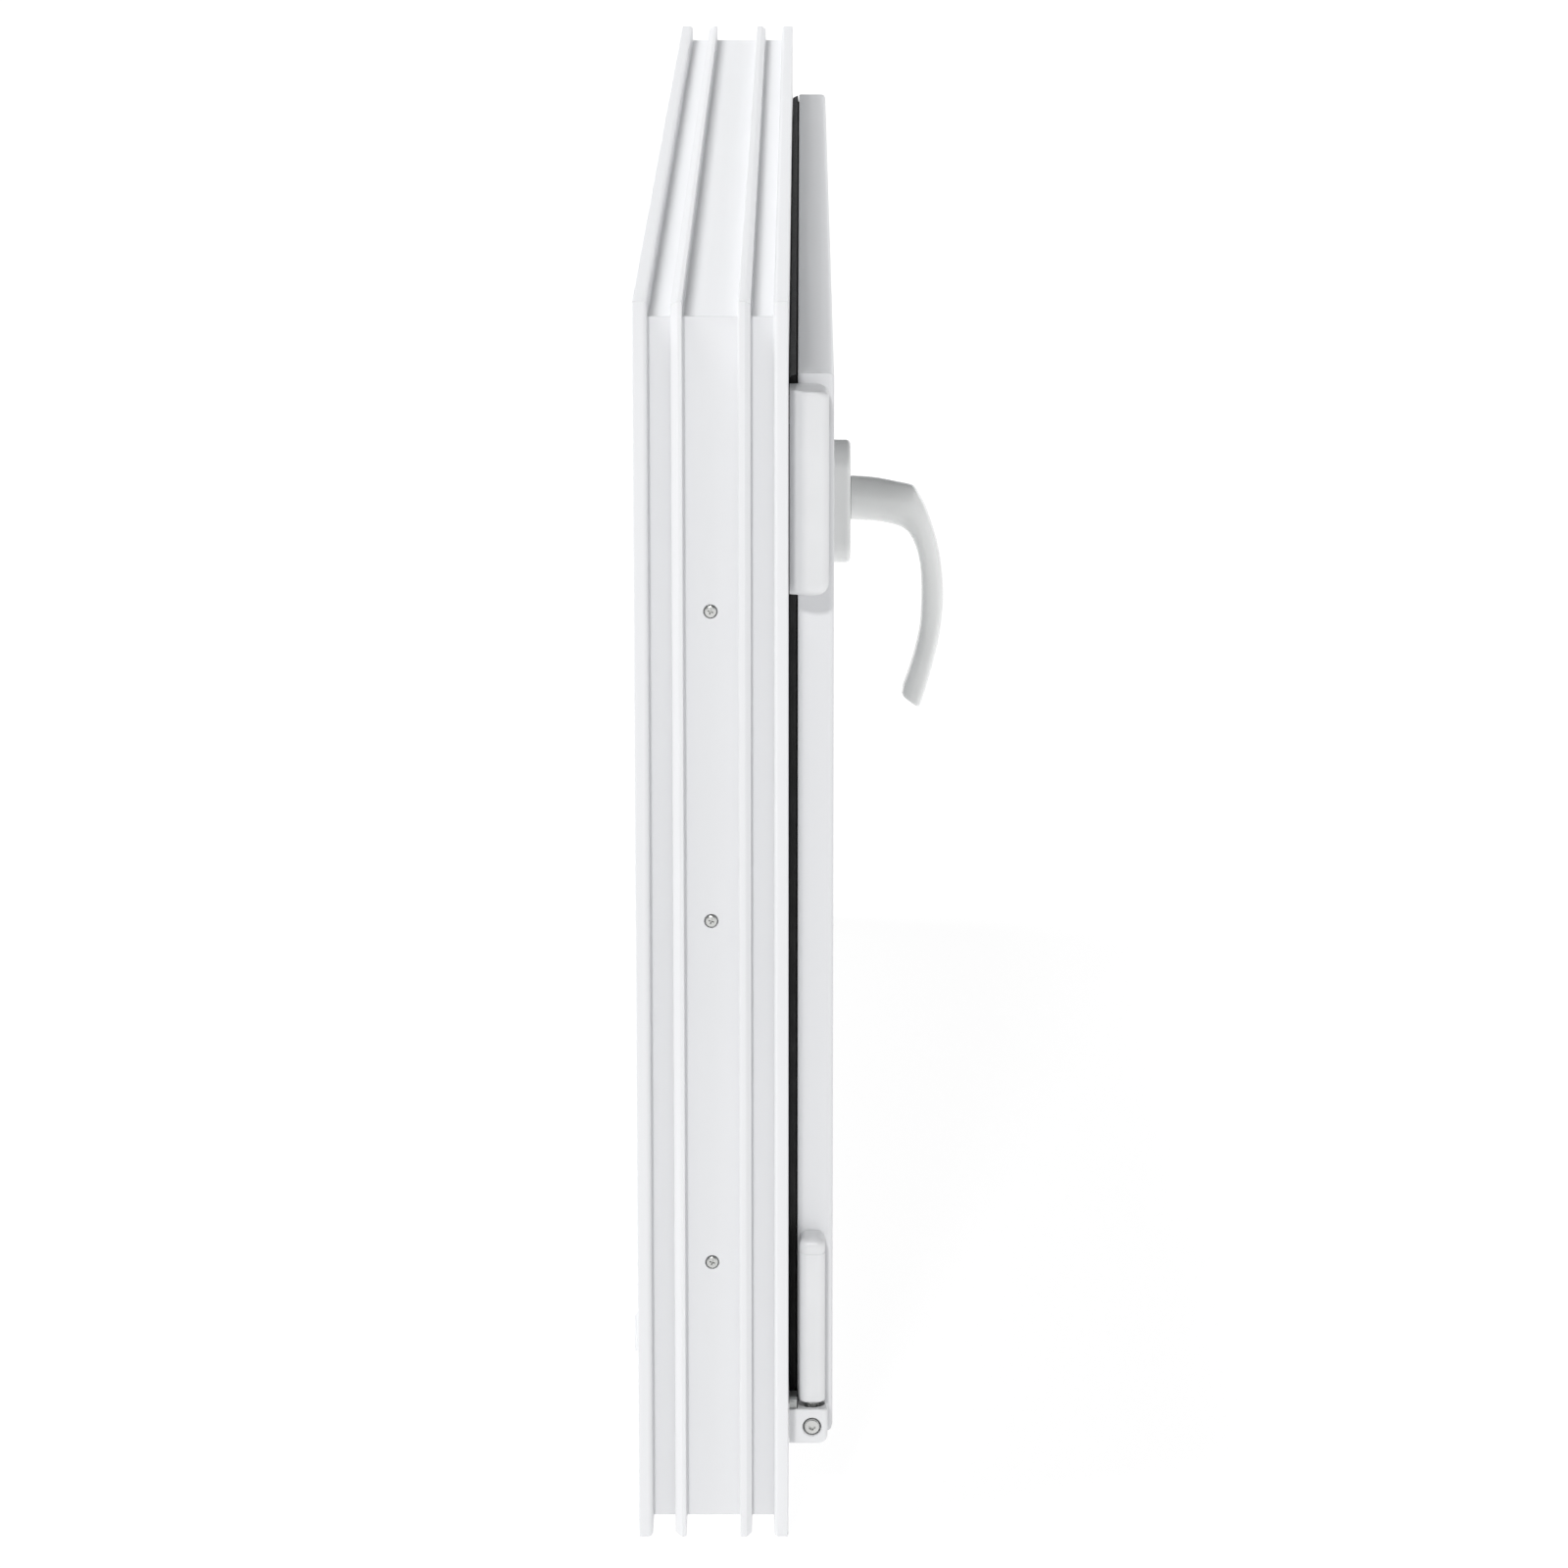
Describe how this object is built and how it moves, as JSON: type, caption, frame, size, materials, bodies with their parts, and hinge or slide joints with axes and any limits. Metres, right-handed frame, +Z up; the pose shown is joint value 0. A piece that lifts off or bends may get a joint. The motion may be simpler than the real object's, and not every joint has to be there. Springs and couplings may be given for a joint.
{
  "type": "tilt and turn window",
  "caption": "White PVC tilt-and-turn window: foot-ribbed outer frame, overlapping glazed sash on a turn axis and a tilt axis, and a lever handle that drives the lock rods.",
  "frame": {"origin": "underside of the sill at mid-width, on the tip of the foot rib nearest the room; Y = 0 is the plane of the frame's room face", "axes": "+X from the hinge side to the handle side, +Y to the outside, +Z up"},
  "size_m": [1, 0.1484, 0.5],
  "materials": {
    "white_pvc": "extruded white PVC with a soft gloss",
    "white_cover": "moulded white covers",
    "galvanised_steel": "galvanised",
    "black_gasket": "matt black",
    "hinge_steel": "bright zinc plate",
    "zinc_hardware": "silver lacquered zinc",
    "clear_glass": "clear float glass",
    "spacer_aluminium": "mill finish",
    "setting_block": "blue polypropylene",
    "handle_silver": "satin silver lacquer"
  },
  "bodies": {
    "frame": {"frame_sill": "white_pvc", "frame_head": "white_pvc", "frame_jamb_hinge_side": "white_pvc", "frame_jamb_handle_side": "white_pvc", "frame_steel_sill": "galvanised_steel", "frame_steel_head": "galvanised_steel", "frame_steel_hinge_side": "galvanised_steel", "frame_steel_handle_side": "galvanised_steel", "frame_gasket": "black_gasket", "drain_cap_hinge_side": "white_cover", "drain_cap_handle_side": "white_cover", "steel_screw_1": "galvanised_steel", "steel_screw_2": "galvanised_steel", "steel_screw_3": "galvanised_steel", "striker_side_lower": "zinc_hardware", "striker_side_upper": "zinc_hardware", "striker_head": "zinc_hardware", "top_hinge_bearing": "zinc_hardware", "top_hinge_cover": "white_cover", "corner_bracket": "white_cover", "corner_bracket_plate": "zinc_hardware", "tilt_pin": "hinge_steel"},
    "turn_carrier": {"pivot_ball": "hinge_steel", "top_hinge_pin": "hinge_steel"},
    "stay": {"stay_arm": "hinge_steel"},
    "sash": {"sash_rail_bottom": "white_pvc", "sash_rail_top": "white_pvc", "sash_stile_hinge_side": "white_pvc", "sash_stile_handle_side": "white_pvc", "sash_steel_bottom": "galvanised_steel", "sash_steel_top": "galvanised_steel", "sash_steel_hinge_side": "galvanised_steel", "sash_steel_handle_side": "galvanised_steel", "sash_gasket": "black_gasket", "glass_outer": "clear_glass", "glass_inner": "clear_glass", "spacer_bar": "spacer_aluminium", "glazing_gasket_outer": "black_gasket", "glazing_gasket_inner": "black_gasket", "setting_block_1": "setting_block", "setting_block_2": "setting_block", "glazing_bead_bottom": "white_pvc", "glazing_bead_top": "white_pvc", "glazing_bead_hinge_side": "white_pvc", "glazing_bead_handle_side": "white_pvc", "sash_hinge_sleeve": "white_cover", "pivot_pin": "hinge_steel", "gearbox": "zinc_hardware", "faceplate_side": "zinc_hardware", "faceplate_top": "zinc_hardware", "corner_drive": "zinc_hardware", "stay_guide_rail": "zinc_hardware", "rosette_cover": "handle_silver", "rosette_base": "zinc_hardware"},
    "handle": {"handle_grip": "handle_silver", "spindle": "hinge_steel"},
    "drive_rod_side": {"drive_rod_side": "hinge_steel"},
    "drive_rod_top": {"drive_rod_top": "hinge_steel"}
  },
  "joints": [
    {"name": "sash_turn", "type": "hinge", "parent": "frame", "child": "turn_carrier", "pos_m": [-0.474, -0.0095, 0.25], "axis": [0, 0, -1], "range_deg": [0, 90]},
    {"name": "sash_tilt", "type": "hinge", "parent": "turn_carrier", "child": "sash", "pos_m": [-0.474, -0.0095, 0.04], "axis": [1, 0, 0], "range_deg": [0, 12]},
    {"name": "stay_swing", "type": "hinge", "parent": "turn_carrier", "child": "stay", "pos_m": [-0.474, -0.0095, 0.4515], "axis": [0, 0, -1], "range_deg": [0, 17]},
    {"name": "handle_turn", "type": "hinge", "parent": "sash", "child": "handle", "pos_m": [0.4317, -0.0178, 0.25], "axis": [0, 1, 0], "range_deg": [0, 180]},
    {"name": "side_rod_slide", "type": "slide", "parent": "sash", "child": "drive_rod_side", "axis": [0, 0, 1], "range_m": [0, 0.0371]},
    {"name": "top_rod_slide", "type": "slide", "parent": "sash", "child": "drive_rod_top", "axis": [-1, 0, 0], "range_m": [0, 0.0371]}
  ],
  "couplings": [
    {"joint": "stay_swing", "follows": "sash_tilt", "ratio": 1.4},
    {"joint": "side_rod_slide", "follows": "handle_turn", "m_per_rad": 0.011777},
    {"joint": "top_rod_slide", "follows": "handle_turn", "m_per_rad": 0.011777}
  ]
}
